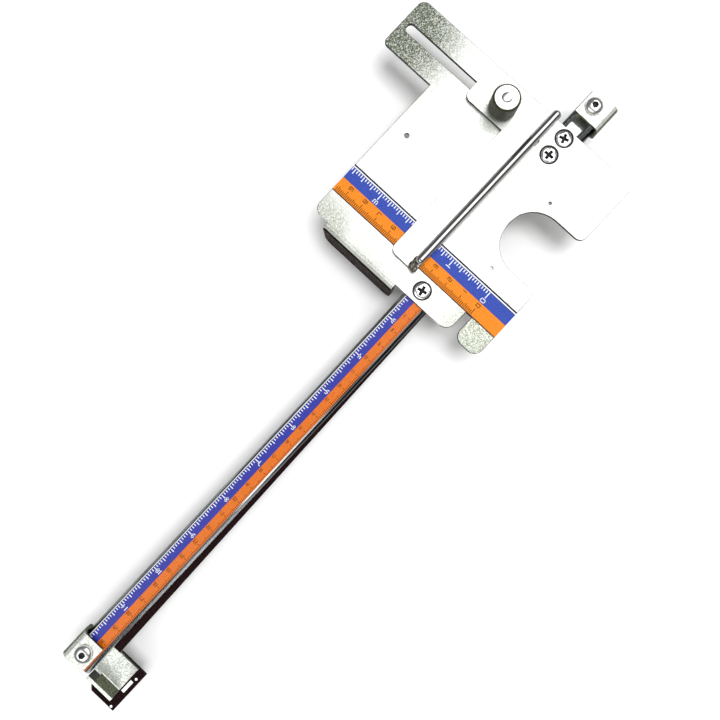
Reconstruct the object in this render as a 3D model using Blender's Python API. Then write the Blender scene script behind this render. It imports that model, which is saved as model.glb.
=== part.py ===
"""Marking gauge: a slotted base plate with a drop fence, a ruled rail, a clamped slider and two rail clips.

Frame: X runs along the rail, away from the free end, and is 0 on the centre line of the pipe notch. Y is 0
on the line of the rail screws and grows towards the slotted tab. Z is 0 on the underside of the rail's
sole, the face that rests on the work.
"""

import math

import bmesh
import bpy
from mathutils import Matrix, Vector

MM = 0.001

# Clearances
GAP = 0.3 * MM            # between two pieces that touch
TAPE_GAP = 0.1 * MM       # under a stuck-on scale
SLIDE_PLAY = 0.4 * MM     # on each side of a piece that slides in or along another
SEAM = 0.02 * MM          # step where two shapes of one piece run into each other
ROUND = 32                # sides of a full circle on small turned pieces
ROD_SIDES = 24
SMOOTH_ANGLE = math.radians(35)
WELD = 0.0001 * MM        # corners closer than this are one corner
ARC_STEP = math.radians(11.25)

# Base plate, seen from above
SHEET = 2.0 * MM
PLATE_LEFT = 63.7 * MM        # notch centre to the left edge
PLATE_LENGTH = 121.7 * MM
PLATE_FRONT = 44.0 * MM       # screw line to the front edge
PLATE_BACK = 71.0 * MM        # screw line to the back edge
PLATE_CORNER = 4.5 * MM
TAB_WIDTH = 32.0 * MM
TAB_REACH = 105.0 * MM        # screw line to the end of the tab
TAB_CORNER = 3.0 * MM         # inner corner of the tab's end
NOTCH_Y = -26.5 * MM          # zero line of the short scale and centre of the pipe notch
NOTCH_RADIUS = 17.7 * MM
SIGHT_SLIT = 4.2 * MM         # slit on the zero line, open to the left edge
SIGHT_SLIT_LENGTH = 14.1 * MM
SIGHT_SLIT_SHIFT = 0.3 * MM   # slit's centre behind the zero line
LOBE_CORNER = 5.5 * MM

SMALL_HOLES = {               # from the plate's left edge, from the screw line, diameter
    "hang": (61.5 * MM, 61.5 * MM, 3.0 * MM),
    "nail": (40.0 * MM, -18.4 * MM, 2.5 * MM),
    "pivot": (86.1 * MM, -17.7 * MM, 2.1 * MM),
}

# Drop fence, bent down from the plate's left edge
FENCE_LENGTH = 48.6 * MM
FENCE_FROM_RAIL = 12.3 * MM   # screw line to the fence's front end
FENCE_DEPTH = 30.0 * MM
FENCE_PROUD = 3.2 * MM        # fence face beyond the plate's left edge
FENCE_BEND = 3.0 * MM         # outside radius
FENCE_CORNER = 6.5 * MM
FENCE_ROOT = 8.0 * MM         # how far the bent strip runs into the plate
PAD_THICKNESS = 0.8 * MM

# Rail: a channel, open side down, closed by its sole
RAIL_WIDTH = 15.4 * MM
RAIL_SHIFT = 1.2 * MM         # rail's centre in front of its screws
RAIL_HEIGHT = 5.0 * MM
RAIL_WALL = 1.2 * MM
RAIL_BEND = 2.0 * MM          # outside radius
RAIL_FREE_END = 255.5 * MM    # left edge of the plate to the free end
RAIL_TAIL = 25.3 * MM         # right edge of the plate to the tail end
SOLE_THICKNESS = 1.2 * MM
SOLE_PROUD = 4.3 * MM         # sole's lip in front of the rail, at the end stop
SOLE_PROUD_PLATE = 0.6 * MM   # and where it meets the plate

# Scales
TAPE_THICKNESS = 0.3 * MM
RAIL_TAPE_WIDTH = 11.2 * MM
RAIL_TAPE_SHIFT = 0.25 * MM   # tape's centre behind the rail's
PLATE_TAPE_WIDTH = 17.9 * MM
PLATE_TAPE_INSET = 14.2 * MM  # left edge of the plate to the tape

# Slider
SLIDER_SHEET = 1.5 * MM
SLIDER_LENGTH = 105.2 * MM
SLIDER_BAR = 17.3 * MM        # front edge to back edge of the long bar
SLIDER_TAB_WIDTH = 19.6 * MM
SLIDER_TAB_REACH = 19.1 * MM  # stud to the end of the slider's tab
SLIDER_FRONT = 24.8 * MM      # stud to the slider's front edge
STUD_FROM_RAIL = 34.4 * MM    # at rest
STUD_TO_RIGHT = 11.2 * MM     # stud to the right edge of the slider
SLOT_OFF_CENTRE = 0.8 * MM    # slot's centre left of the tab's
SLOT_BACK = 101.5 * MM        # screw line to the back end of the slot
SLOT_FRONT = 8.2 * MM         # screw line to the front end of the slot
ROD_DIAMETER = 5.0 * MM
ROD_LENGTH = 108.2 * MM
ROD_PROUD = 6.9 * MM          # domed end beyond the slider's right edge
ROD_FROM_FRONT = 1.6 * MM     # rod centre to the slider's front edge
DOME_STEPS = 6

# Clamp
STUD_DIAMETER = 5.0 * MM
STUD_HEAD = 11.0 * MM
STUD_HEAD_HEIGHT = 2.4 * MM
STUD_TIP = 1.0 * MM           # stud above the knob
NECK_SIDE = 4.7 * MM          # square neck that keeps the stud from turning in the slot
NECK_SINK = 0.5 * MM          # square neck let into the head
WASHER_DIAMETER = 10.0 * MM
WASHER_THICKNESS = 1.0 * MM
KNOB_DIAMETER = 14.8 * MM
KNOB_HEIGHT = 13.0 * MM
KNOB_TEETH = 36
KNURL_DEPTH = 0.35 * MM
KNOB_CHAMFER = 0.6 * MM

# Rail screws and nuts
RAIL_SCREWS = {"left": 6.9 * MM, "mid": 104.7 * MM, "right": 116.4 * MM}   # from the plate's left edge
SCREW_DIAMETER = 4.8 * MM
SCREW_LENGTH = 7.0 * MM
SCREW_HEAD = 9.2 * MM
SCREW_RIM = 0.3 * MM          # straight rim of the countersunk head
SCREW_SINK = 0.1 * MM         # head below the plate's face, and above its seat
NUT_PLAY = 1.3 * MM           # nut to the inside of the rail's back wall
NUT_WIDTH = RAIL_WIDTH - 2 * (RAIL_WALL + RAIL_SHIFT + NUT_PLAY)
NUT_HEIGHT = 2.7 * MM
NUT_CORNER = 0.6 * MM
CROSS_SPAN = 4.8 * MM
CROSS_WIDTH = 1.1 * MM
CROSS_DEPTH = 1.3 * MM

# Rail clips
CLIP_SHEET = 1.7 * MM
CLIP_LENGTH = 16.0 * MM
CLIP_LIP = 5.8 * MM           # screw line to the open edge of the top
CLIP_BEND = 4.0 * MM          # outside radius at the top
CLIP_LOWER_BEND = 2.0 * MM    # outside radius at the floor
SHOE_DIAMETER = 8.0 * MM
SHOE_THICKNESS = 0.8 * MM
CLAMP_SCREW_HEAD = 9.5 * MM
CLAMP_SCREW_HEAD_HEIGHT = 2.75 * MM
CLAMP_SCREW_RIM = 0.7 * MM    # straight rim under the button head's crown
HEX_SOCKET = 3.0 * MM         # across flats
HEX_DEPTH = 1.5 * MM

# Hook of the end stop
HOOK_REACH = 26.2 * MM        # screw line to the front edge of the hook's floor
HOOK_BEND = 2.4 * MM          # outside radius
FOOT_THICKNESS = 2.0 * MM
FOOT_LEFT = 9.7 * MM          # foot beyond the hook's wall
FOOT_FRONT = 5.1 * MM         # foot beyond the floor's front edge
FOOT_DEPTH = 18.0 * MM        # front edge to back edge of the foot
FOOT_CHAMFER = 2.4 * MM
KEY_LENGTH = 7.4 * MM
KEY_WIDTH = 2.0 * MM
KEY_FROM_WALL = 1.1 * MM      # key's left end to the outside of the hook's wall
KEY_FROM_FLOOR = 0.9 * MM     # key's back edge to the floor's front edge
PIN_DIAMETER = 1.4 * MM
PIN_FROM_FRONT = 2.3 * MM
PIN_FROM_LEFT = 1.2 * MM
PIN_FROM_RIGHT = 5.3 * MM

# Heights, from the sole's underside up
rail_bottom = SOLE_THICKNESS + GAP
rail_top = rail_bottom + RAIL_HEIGHT
rail_tape_bottom = rail_top + TAPE_GAP
rail_tape_top = rail_tape_bottom + TAPE_THICKNESS
plate_bottom = rail_top + GAP
plate_top = plate_bottom + SHEET
plate_tape_bottom = plate_top + TAPE_GAP
plate_tape_top = plate_tape_bottom + TAPE_THICKNESS
slider_bottom = plate_tape_top + GAP
slider_top = slider_bottom + SLIDER_SHEET
washer_bottom = slider_top + GAP
knob_bottom = washer_bottom + WASHER_THICKNESS + GAP
knob_top = knob_bottom + KNOB_HEIGHT
fence_bottom = plate_top - FENCE_DEPTH
shoe_bottom = rail_tape_top + GAP
clip_inside_top = shoe_bottom + SHOE_THICKNESS + GAP
clip_inside_bottom = -GAP
clip_top = clip_inside_top + CLIP_SHEET
clip_bottom = clip_inside_bottom - CLIP_SHEET
foot_top = clip_bottom - GAP

# Places along the rail and across it
plate_left = -PLATE_LEFT
plate_right = plate_left + PLATE_LENGTH
rail_left = plate_left - RAIL_FREE_END
rail_right = plate_right + RAIL_TAIL
slot_width = STUD_DIAMETER + SLIDE_PLAY
slot_x = plate_right - TAB_WIDTH / 2 - SLOT_OFF_CENTRE
fence_face = plate_left - FENCE_PROUD
end_stop_x = rail_left + CLIP_LENGTH / 2
tail_clip_x = rail_right - CLIP_LENGTH / 2
rail_front = -RAIL_SHIFT - RAIL_WIDTH / 2
rail_back = -RAIL_SHIFT + RAIL_WIDTH / 2
sole_front = rail_front - SOLE_PROUD


def material(name, colour, roughness, metallic):
    """A Principled material of one colour."""
    made = bpy.data.materials.new(name)
    made.use_nodes = True
    shader = made.node_tree.nodes["Principled BSDF"]
    shader.inputs["Base Color"].default_value = (*colour, 1.0)
    shader.inputs["Roughness"].default_value = roughness
    shader.inputs["Metallic"].default_value = metallic
    made.diffuse_color = (*colour, 1.0)
    return made


def object_of(name, shape, finish, at=(0, 0, 0), parent=None, smooth=False):
    """Turns a bmesh into an object at a place, and frees the bmesh."""
    bmesh.ops.recalc_face_normals(shape, faces=shape.faces)
    mesh = bpy.data.meshes.new(name)
    shape.to_mesh(mesh)
    shape.free()
    made = bpy.data.objects.new(name, mesh)
    bpy.context.scene.collection.objects.link(made)
    if finish:
        mesh.materials.append(finish)
    if smooth:
        mesh.shade_smooth()
        mesh.set_sharp_from_angle(angle=SMOOTH_ANGLE)
    made.location = at
    made.parent = parent
    return made


def cut(target, tool, operation="DIFFERENCE"):
    """Cuts a helper object from a piece or joins it to the piece, and keeps the helper hidden."""
    tool.hide_render = True
    tool.display_type = "WIRE"
    tool.parent = target
    step = target.modifiers.new(tool.name, "BOOLEAN")
    step.object = tool
    step.operation = operation
    step.solver = "EXACT"


def rounded(corners):
    """Points of a closed outline from corners (x, y, radius): each corner with a radius becomes an arc."""
    points = []
    for index, (x, y, radius) in enumerate(corners):
        here = Vector((x, y))
        if not radius:
            points.append(here)
            continue
        before = (Vector(corners[index - 1][:2]) - here).normalized()
        after = (Vector(corners[(index + 1) % len(corners)][:2]) - here).normalized()
        half = before.angle(after) / 2
        centre = here + (before + after).normalized() * radius / math.sin(half)
        start = here + before * radius / math.tan(half) - centre
        turn = math.pi - 2 * half
        side = math.copysign(1, before.cross(after))
        steps = max(2, round(turn / ARC_STEP))
        for step in range(steps + 1):
            angle = -side * turn * step / steps
            swung = Matrix.Rotation(angle, 2) @ start
            points.append(centre + swung)
    return points


def prism(points, low, high, along="Z"):
    """A closed bmesh: an outline swept from low to high along one axis."""
    across = {
        "Z": lambda u, v, w: (u, v, w),
        "Y": lambda u, v, w: (u, w, v),
        "X": lambda u, v, w: (w, u, v),
    }[along]
    shape = bmesh.new()
    face = shape.faces.new([shape.verts.new(across(u, v, low)) for u, v in points])
    swept = bmesh.ops.extrude_face_region(shape, geom=[face])
    moved = [item for item in swept["geom"] if isinstance(item, bmesh.types.BMVert)]
    bmesh.ops.translate(shape, vec=Vector(across(0, 0, high)) - Vector(across(0, 0, low)), verts=moved)
    return shape


def turned(profile, sides=ROUND):
    """A closed bmesh: a profile (radius, height) spun about Z. Points at radius 0 meet on the axis."""
    shape = bmesh.new()
    points = [shape.verts.new((radius, 0, height)) for radius, height in profile]
    if profile[0][0] or profile[-1][0]:
        points.append(points[0])
    edges = [shape.edges.new(pair) for pair in zip(points, points[1:])]
    bmesh.ops.spin(
        shape, geom=shape.verts[:] + edges, cent=(0, 0, 0), axis=(0, 0, 1),
        angle=math.tau, steps=sides, use_merge=True,
    )
    bmesh.ops.remove_doubles(shape, verts=shape.verts, dist=WELD)
    return shape


def disc(radius, low, high, bore=0.0):
    """A round plate about Z, with a hole through it when bore is a radius."""
    return turned([(bore, low), (radius, low), (radius, high), (bore, high)])


def circle(radius, sides, offset=0.0):
    """Points of a regular polygon; offset turns it by a share of one side."""
    angles = [math.tau * (step + offset) / sides for step in range(sides)]
    return [(radius * math.cos(angle), radius * math.sin(angle)) for angle in angles]


def rectangle(left, right, front, back, radius=0.0):
    corners = [(left, front), (right, front), (right, back), (left, back)]
    return rounded([(x, y, radius) for x, y in corners])


def helper(name, shape, at=(0, 0, 0)):
    return object_of(name, shape, None, at)


def clip_outline(fold, top_reach, floor_reach):
    """Section of a rail clip in Y and Z: the inside of its fold at +Y, its top and floor running back."""
    outside = rounded([
        (-top_reach, clip_top, 0),
        (fold + CLIP_SHEET, clip_top, CLIP_BEND),
        (fold + CLIP_SHEET, clip_bottom, CLIP_LOWER_BEND),
        (-floor_reach, clip_bottom, 0),
    ])
    inside = rounded([
        (-top_reach, clip_inside_top, 0),
        (fold, clip_inside_top, CLIP_BEND - CLIP_SHEET),
        (fold, clip_inside_bottom, CLIP_LOWER_BEND - CLIP_SHEET),
        (-floor_reach, clip_inside_bottom, 0),
    ])
    return outside + inside[::-1]


for old in list(bpy.data.objects):
    bpy.data.objects.remove(old)

zinc = material("zinc_plated_steel", (0.74, 0.75, 0.72), 0.38, 1.0)
bright = material("bright_steel", (0.80, 0.81, 0.82), 0.2, 1.0)
rail_steel = material("polished_rail_steel", (0.78, 0.80, 0.83), 0.18, 1.0)
knurled = material("nickel_plated_knob", (0.66, 0.65, 0.60), 0.28, 1.0)
brass = material("brass", (0.72, 0.55, 0.25), 0.35, 1.0)
rubber = material("dark_brown_rubber", (0.045, 0.025, 0.022), 0.75, 0.0)
scale = material("printed_scale", (0.25, 0.30, 0.60), 0.45, 0.0)


# Base plate: one sheet, with the drop fence bent down from its left edge
lobe_back = NOTCH_Y + SIGHT_SLIT_SHIFT - SIGHT_SLIT / 2
slit_back = lobe_back + SIGHT_SLIT
slit_end = plate_left + SIGHT_SLIT_LENGTH
tab_left = plate_right - TAB_WIDTH
notch_back = NOTCH_Y + NOTCH_RADIUS
notch_round = NOTCH_RADIUS - SEAM
plate_outline = rounded([
    (plate_left, slit_back, LOBE_CORNER),
    (slit_end, slit_back, 0),
    (slit_end, lobe_back, 0),
    (plate_left, lobe_back, LOBE_CORNER),
    (plate_left, -PLATE_FRONT, LOBE_CORNER),
    (-NOTCH_RADIUS, -PLATE_FRONT, PLATE_CORNER),
    (-NOTCH_RADIUS, notch_back, notch_round),
    (NOTCH_RADIUS, notch_back, notch_round),
    (NOTCH_RADIUS, -PLATE_FRONT, PLATE_CORNER),
    (plate_right, -PLATE_FRONT, PLATE_CORNER),
    (plate_right, TAB_REACH, PLATE_CORNER),
    (tab_left, TAB_REACH, TAB_CORNER),
    (tab_left, PLATE_BACK, 0),
    (plate_left, PLATE_BACK, PLATE_CORNER),
])
base_plate = object_of("base_plate", prism(plate_outline, plate_bottom, plate_top), zinc)

# The fence is a bent strip, joined to the plate, with its two lower corners rounded
fence_front = FENCE_FROM_RAIL
fence_back = FENCE_FROM_RAIL + FENCE_LENGTH
bend_outside = rounded([
    (plate_left + FENCE_ROOT, plate_top - SEAM, 0),
    (fence_face, plate_top - SEAM, FENCE_BEND),
    (fence_face, fence_bottom - SHEET, 0),
])
bend_inside = rounded([
    (plate_left + FENCE_ROOT, plate_bottom + SEAM, 0),
    (fence_face + SHEET, plate_bottom + SEAM, FENCE_BEND - SHEET),
    (fence_face + SHEET, fence_bottom - SHEET, 0),
])
bend = prism(bend_outside + bend_inside[::-1], fence_front - SHEET, fence_back + SHEET, along="Y")
fence = helper("fence_strip", bend)
fence_shape = rounded([
    (fence_front, fence_bottom, FENCE_CORNER),
    (fence_back, fence_bottom, FENCE_CORNER),
    (fence_back, plate_top + SHEET, 0),
    (fence_front, plate_top + SHEET, 0),
])
mask_shape = prism(fence_shape, fence_face - SHEET, plate_left + FENCE_ROOT + SHEET, along="X")
fence_mask = helper("fence_mask", mask_shape)
cut(fence, fence_mask, "INTERSECT")
cut(base_plate, fence, "UNION")

slot_end = slot_width / 2 - SEAM
slot = rectangle(slot_x - slot_width / 2, slot_x + slot_width / 2, SLOT_FRONT, SLOT_BACK, slot_end)
cut(base_plate, helper("slot_cutter", prism(slot, plate_bottom - SHEET, plate_top + SHEET)))

for hole, (from_left, from_screws, width) in SMALL_HOLES.items():
    drill = disc(width / 2, plate_bottom - SHEET, plate_top + SHEET)
    cut(base_plate, helper(hole + "_hole_cutter", drill, (plate_left + from_left, from_screws, 0)))

# Rubber facing of the fence, the same outline as the fence's flat
pad_top = plate_top - FENCE_BEND
pad_outline = rounded([
    (fence_front, fence_bottom, FENCE_CORNER),
    (fence_back, fence_bottom, FENCE_CORNER),
    (fence_back, pad_top, 0),
    (fence_front, pad_top, 0),
])
pad_inner = fence_face - TAPE_GAP
object_of("fence_pad", prism(pad_outline, pad_inner - PAD_THICKNESS, pad_inner, along="X"), rubber)

# Rail, its sole and the two scales
rail_outside = rounded([
    (rail_front, rail_bottom, 0),
    (rail_front, rail_top, RAIL_BEND),
    (rail_back, rail_top, RAIL_BEND),
    (rail_back, rail_bottom, 0),
])
rail_inside = rounded([
    (rail_front + RAIL_WALL, rail_bottom, 0),
    (rail_front + RAIL_WALL, rail_top - RAIL_WALL, RAIL_BEND - RAIL_WALL),
    (rail_back - RAIL_WALL, rail_top - RAIL_WALL, RAIL_BEND - RAIL_WALL),
    (rail_back - RAIL_WALL, rail_bottom, 0),
])
rail_shape = prism(rail_outside + rail_inside[::-1], rail_left, rail_right, along="X")
rail = object_of("rail", rail_shape, rail_steel, smooth=True)

# The sole runs from one clip to the other. Its front lip is wide beside the end stop and narrows to nothing
sole_left = rail_left + CLIP_LENGTH + SLIDE_PLAY
sole_right = rail_right - CLIP_LENGTH - SLIDE_PLAY
sole_outline = [
    (sole_left, sole_front), (plate_left, rail_front - SOLE_PROUD_PLATE), (sole_right, rail_front),
    (sole_right, rail_back), (sole_left, rail_back),
]
object_of("rail_sole", prism(sole_outline, 0, SOLE_THICKNESS), rubber)

tape_middle = RAIL_TAPE_SHIFT - RAIL_SHIFT
tape_front = tape_middle - RAIL_TAPE_WIDTH / 2
tape_back = tape_middle + RAIL_TAPE_WIDTH / 2
rail_tape = rectangle(rail_left, plate_left - GAP, tape_front, tape_back)
object_of("rail_scale", prism(rail_tape, rail_tape_bottom, rail_tape_top), scale)

plate_tape_left = plate_left + PLATE_TAPE_INSET
plate_tape = rectangle(plate_tape_left, plate_tape_left + PLATE_TAPE_WIDTH, -PLATE_FRONT, PLATE_BACK)
object_of("plate_scale", prism(plate_tape, plate_tape_bottom, plate_tape_top), scale)


# Rail screws: countersunk, flush with the plate, each into a square nut inside the rail
def countersunk_screw(name, at):
    """A screw with a 90 degree head, its cross recess cut into the head."""
    shank = SCREW_DIAMETER / 2
    head = SCREW_HEAD / 2
    top = plate_top - SCREW_SINK
    profile = [
        (0, top - SCREW_LENGTH), (shank, top - SCREW_LENGTH), (shank, top - SCREW_RIM - (head - shank)),
        (head, top - SCREW_RIM), (head, top), (0, top),
    ]
    screw = object_of(name, turned(profile), bright, at, smooth=True)
    reach = CROSS_SPAN / 2
    arm = CROSS_WIDTH / 2
    cross = [
        (reach, -arm), (reach, arm), (arm, arm), (arm, reach), (-arm, reach), (-arm, arm),
        (-reach, arm), (-reach, -arm), (-arm, -arm), (-arm, -reach), (arm, -reach), (arm, -arm),
    ]
    cut(screw, helper(name + "_cross", prism(cross, top - CROSS_DEPTH, top + SCREW_RIM)))
    return screw


def screw_seat(target, name, at):
    """A countersunk hole through the plate, and a round one through the rail's web."""
    shank = SCREW_DIAMETER / 2 + GAP
    head = SCREW_HEAD / 2 + GAP
    above = plate_top + SHEET
    seat = plate_top - SCREW_SINK - SCREW_RIM - SCREW_SINK
    profile = [
        (0, 0), (shank, 0), (shank, seat - (head - shank)), (head, seat), (head, above), (0, above),
    ]
    cut(target, helper(name, turned(profile), at))


nut_top = rail_top - RAIL_WALL - GAP
for place, from_left in RAIL_SCREWS.items():
    spot = (plate_left + from_left, 0, 0)
    countersunk_screw("rail_screw_" + place, spot)
    screw_seat(base_plate, f"plate_seat_{place}", spot)
    rail_hole = disc(SCREW_DIAMETER / 2 + 2 * GAP, rail_bottom, rail_top + GAP)
    cut(rail, helper(f"rail_hole_{place}", rail_hole, spot))
    side = NUT_WIDTH / 2
    nut_shape = prism(rectangle(-side, side, -side, side, NUT_CORNER), nut_top - NUT_HEIGHT, nut_top)
    nut = object_of("rail_nut_" + place, nut_shape, zinc, spot)
    cut(nut, helper(f"nut_bore_{place}", disc(SCREW_DIAMETER / 2 + GAP, 0, rail_top)))

# Slider: everything here is placed from the clamp stud
carriage = bpy.data.objects.new("slider_carriage", None)
bpy.context.scene.collection.objects.link(carriage)
carriage.location = (slot_x, STUD_FROM_RAIL, 0)

bar_back = SLIDER_BAR - SLIDER_FRONT
slider_left = STUD_TO_RIGHT - SLIDER_LENGTH
slider_outline = rounded([
    (slider_left, -SLIDER_FRONT, 2.0 * MM),
    (STUD_TO_RIGHT, -SLIDER_FRONT, 0.8 * MM),
    (STUD_TO_RIGHT, SLIDER_TAB_REACH, 1.5 * MM),
    (STUD_TO_RIGHT - SLIDER_TAB_WIDTH, SLIDER_TAB_REACH, 4.0 * MM),
    (STUD_TO_RIGHT - SLIDER_TAB_WIDTH, bar_back, 0),
    (slider_left, bar_back, 4.0 * MM),
])
slider = object_of("fence_slider", prism(slider_outline, slider_bottom, slider_top), zinc, parent=carriage)
stud_bore = STUD_DIAMETER / 2 + GAP
cut(slider, helper("slider_stud_hole", disc(stud_bore, slider_bottom - SHEET, slider_top + SHEET)))

# The rod lies on the slider's front edge: a plain bar with two domed ends
rod_radius = ROD_DIAMETER / 2
dome_angles = [math.pi / 2 * step / DOME_STEPS for step in range(DOME_STEPS)]
dome = [(rod_radius * math.cos(angle), rod_radius * math.sin(angle)) for angle in dome_angles]
rod_half = ROD_LENGTH / 2 - rod_radius
rod_profile = [(0, -rod_half - rod_radius)]
rod_profile += [(radius, -rod_half - rise) for radius, rise in reversed(dome)]
rod_profile += [(radius, rod_half + rise) for radius, rise in dome]
rod_profile += [(0, rod_half + rod_radius)]
rod_mesh = turned(rod_profile, ROD_SIDES)
laid_down = Matrix.Rotation(math.pi / 2, 3, "Y")
bmesh.ops.rotate(rod_mesh, cent=(0, 0, 0), matrix=laid_down, verts=rod_mesh.verts)
rod_x = STUD_TO_RIGHT + ROD_PROUD - ROD_LENGTH / 2
rod_at = (rod_x, -SLIDER_FRONT + ROD_FROM_FRONT, slider_top + GAP + rod_radius)
object_of("fence_rod", rod_mesh, bright, rod_at, carriage, smooth=True)

# Clamp: a carriage bolt up through the slot, a washer and a knurled knob
head_top = plate_bottom - GAP
stud_tip = knob_top + STUD_TIP
stud_profile = [
    (STUD_HEAD / 2 * math.sin(angle), head_top - STUD_HEAD_HEIGHT * math.cos(angle))
    for angle in dome_angles
]
stud_profile += [
    (STUD_HEAD / 2, head_top), (STUD_DIAMETER / 2, head_top), (STUD_DIAMETER / 2, stud_tip - GAP),
    (STUD_DIAMETER / 2 - GAP, stud_tip), (0, stud_tip),
]
stud = object_of("clamp_stud", turned(stud_profile), bright, parent=carriage, smooth=True)
square = NECK_SIDE / 2
neck_block = prism(rectangle(-square, square, -square, square), head_top - NECK_SINK, plate_top - GAP)
cut(stud, helper("stud_square_neck", neck_block), "UNION")
washer = disc(WASHER_DIAMETER / 2, washer_bottom, washer_bottom + WASHER_THICKNESS, stud_bore)
object_of("clamp_washer", washer, zinc, parent=carriage, smooth=True)

knob_axis = bpy.data.objects.new("knob_axis", None)
bpy.context.scene.collection.objects.link(knob_axis)
knob_axis.parent = carriage


def knob_ring(inset, height):
    """One level of the knob: straight knurls as a ring of peaks and valleys."""
    peaks = circle(KNOB_DIAMETER / 2 - inset, KNOB_TEETH)
    valleys = circle(KNOB_DIAMETER / 2 - inset - KNURL_DEPTH, KNOB_TEETH, 0.5)
    return [(*point, height) for pair in zip(peaks, valleys) for point in pair]


knob_shape = bmesh.new()
levels = [
    (KNOB_CHAMFER, knob_bottom), (0, knob_bottom + KNOB_CHAMFER),
    (0, knob_top - KNOB_CHAMFER), (KNOB_CHAMFER, knob_top),
]
rings = [[knob_shape.verts.new(point) for point in knob_ring(*level)] for level in levels]
for lower, upper in zip(rings, rings[1:]):
    edges = [knob_shape.edges.get(pair) or knob_shape.edges.new(pair)
             for ring in (lower, upper) for pair in zip(ring, ring[1:] + ring[:1])]
    bmesh.ops.bridge_loops(knob_shape, edges=edges)
knob_shape.faces.new(rings[0])
knob_shape.faces.new(rings[-1])
knob = object_of("clamp_knob", knob_shape, knurled, parent=knob_axis)
cut(knob, helper("knob_bore", disc(stud_bore, knob_bottom - GAP, knob_top + GAP)))


# Rail clips: a sheet folded round the rail, with a clamp screw through its top and a brass shoe under it
def clamp_screw(name, parent):
    """A button head screw on the clip's centre, its tip just above the shoe."""
    seat = clip_top + GAP
    head = CLAMP_SCREW_HEAD / 2
    rim_top = seat + CLAMP_SCREW_RIM
    head_top = seat + CLAMP_SCREW_HEAD_HEIGHT
    tip = clip_inside_top - GAP / 2
    angles = [math.pi / 2 * step / DOME_STEPS for step in range(1, DOME_STEPS)]
    crown = [(head * math.cos(angle), rim_top + (head_top - rim_top) * math.sin(angle)) for angle in angles]
    shank = SCREW_DIAMETER / 2
    profile = [(0, tip), (shank, tip), (shank, seat), (head, seat), (head, rim_top)]
    screw = object_of(name, turned(profile + crown + [(0, head_top)]), bright, parent=parent, smooth=True)
    hexagon = circle(HEX_SOCKET / 2 / math.cos(math.pi / 6), 6)
    cut(screw, helper(name + "_socket", prism(hexagon, head_top - HEX_DEPTH, head_top + GAP)))


def rail_clip(name, place, turn, fold, floor_reach):
    """An empty at the clip's centre, with the folded sheet, the shoe and the screw on it."""
    holder = bpy.data.objects.new(name + "_carriage", None)
    bpy.context.scene.collection.objects.link(holder)
    holder.location = (place, 0, 0)
    holder.rotation_euler = (0, 0, turn)
    ends = CLIP_LENGTH / 2
    sheet = object_of(
        name + "_bracket", prism(clip_outline(fold, CLIP_LIP, floor_reach), -ends, ends, along="X"),
        zinc, parent=holder, smooth=True,
    )
    hole = disc(SCREW_DIAMETER / 2 + GAP, clip_inside_top - GAP, clip_top + GAP)
    cut(sheet, helper(name + "_screw_hole", hole))
    shoe = disc(SHOE_DIAMETER / 2, shoe_bottom, shoe_bottom + SHOE_THICKNESS)
    object_of(name + "_shoe", shoe, brass, parent=holder, smooth=True)
    clamp_screw(name + "_screw", holder)
    return holder, sheet


rail_clip("tail_clip", tail_clip_x, math.pi, SLIDE_PLAY - rail_front, CLIP_LIP)
stop_holder, stop_sheet = rail_clip(
    "end_stop", end_stop_x, 0.0, rail_back + SLIDE_PLAY, SHEET + SLIDE_PLAY - sole_front,
)

# In front of the rail the end stop's floor runs on as a hook, its left end bent up into a wall
wall_outer = -CLIP_LENGTH / 2
wall_back = sole_front - SLIDE_PLAY
hook_outside = rounded([
    (CLIP_LENGTH / 2 - SEAM, clip_bottom + SEAM, 0),
    (wall_outer + SEAM, clip_bottom + SEAM, HOOK_BEND),
    (wall_outer + SEAM, clip_top - SEAM, 0),
])
hook_inside = rounded([
    (CLIP_LENGTH / 2 - SEAM, clip_inside_bottom - SEAM, 0),
    (wall_outer + CLIP_SHEET - SEAM, clip_inside_bottom - SEAM, HOOK_BEND - CLIP_SHEET),
    (wall_outer + CLIP_SHEET - SEAM, clip_top - SEAM, 0),
])
hook_wall = prism(hook_outside + hook_inside[::-1], -HOOK_REACH, wall_back, along="Y")
cut(stop_sheet, helper("hook_wall", hook_wall), "UNION")
ear_outline = rectangle(
    wall_outer + 2 * SEAM, wall_outer + CLIP_SHEET - 2 * SEAM, wall_back - SHEET, rail_front - SLIDE_PLAY,
)
ear = prism(ear_outline, SOLE_THICKNESS + SLIDE_PLAY, clip_top - 2 * SEAM)
cut(stop_sheet, helper("hook_ear", ear), "UNION")

# The rubber foot under the hook, with a steel key and two pins let into it
foot_left = wall_outer - FOOT_LEFT
foot_right = CLIP_LENGTH / 2
foot_front = -HOOK_REACH - FOOT_FRONT
foot_back = foot_front + FOOT_DEPTH
foot_outline = [
    (foot_left, foot_front), (foot_right, foot_front), (foot_right, foot_back),
    (foot_left + FOOT_CHAMFER, foot_back), (foot_left, foot_back - FOOT_CHAMFER),
]
foot_shape = prism(foot_outline, foot_top - FOOT_THICKNESS, foot_top)
foot = object_of("end_stop_foot", foot_shape, rubber, parent=stop_holder)
key_left = wall_outer + KEY_FROM_WALL
key_back = -HOOK_REACH - KEY_FROM_FLOOR
key_bottom = foot_top - FOOT_THICKNESS / 2
key_cut = rectangle(key_left - GAP, key_left + KEY_LENGTH + GAP, key_back - KEY_WIDTH - GAP, key_back + GAP)
cut(foot, helper("foot_key_slot", prism(key_cut, key_bottom - GAP, foot_top + GAP)))
key_outline = rectangle(key_left, key_left + KEY_LENGTH, key_back - KEY_WIDTH, key_back)
object_of("foot_key", prism(key_outline, key_bottom, foot_top), bright, parent=stop_holder)
pin_y = foot_front + PIN_FROM_FRONT
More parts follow.
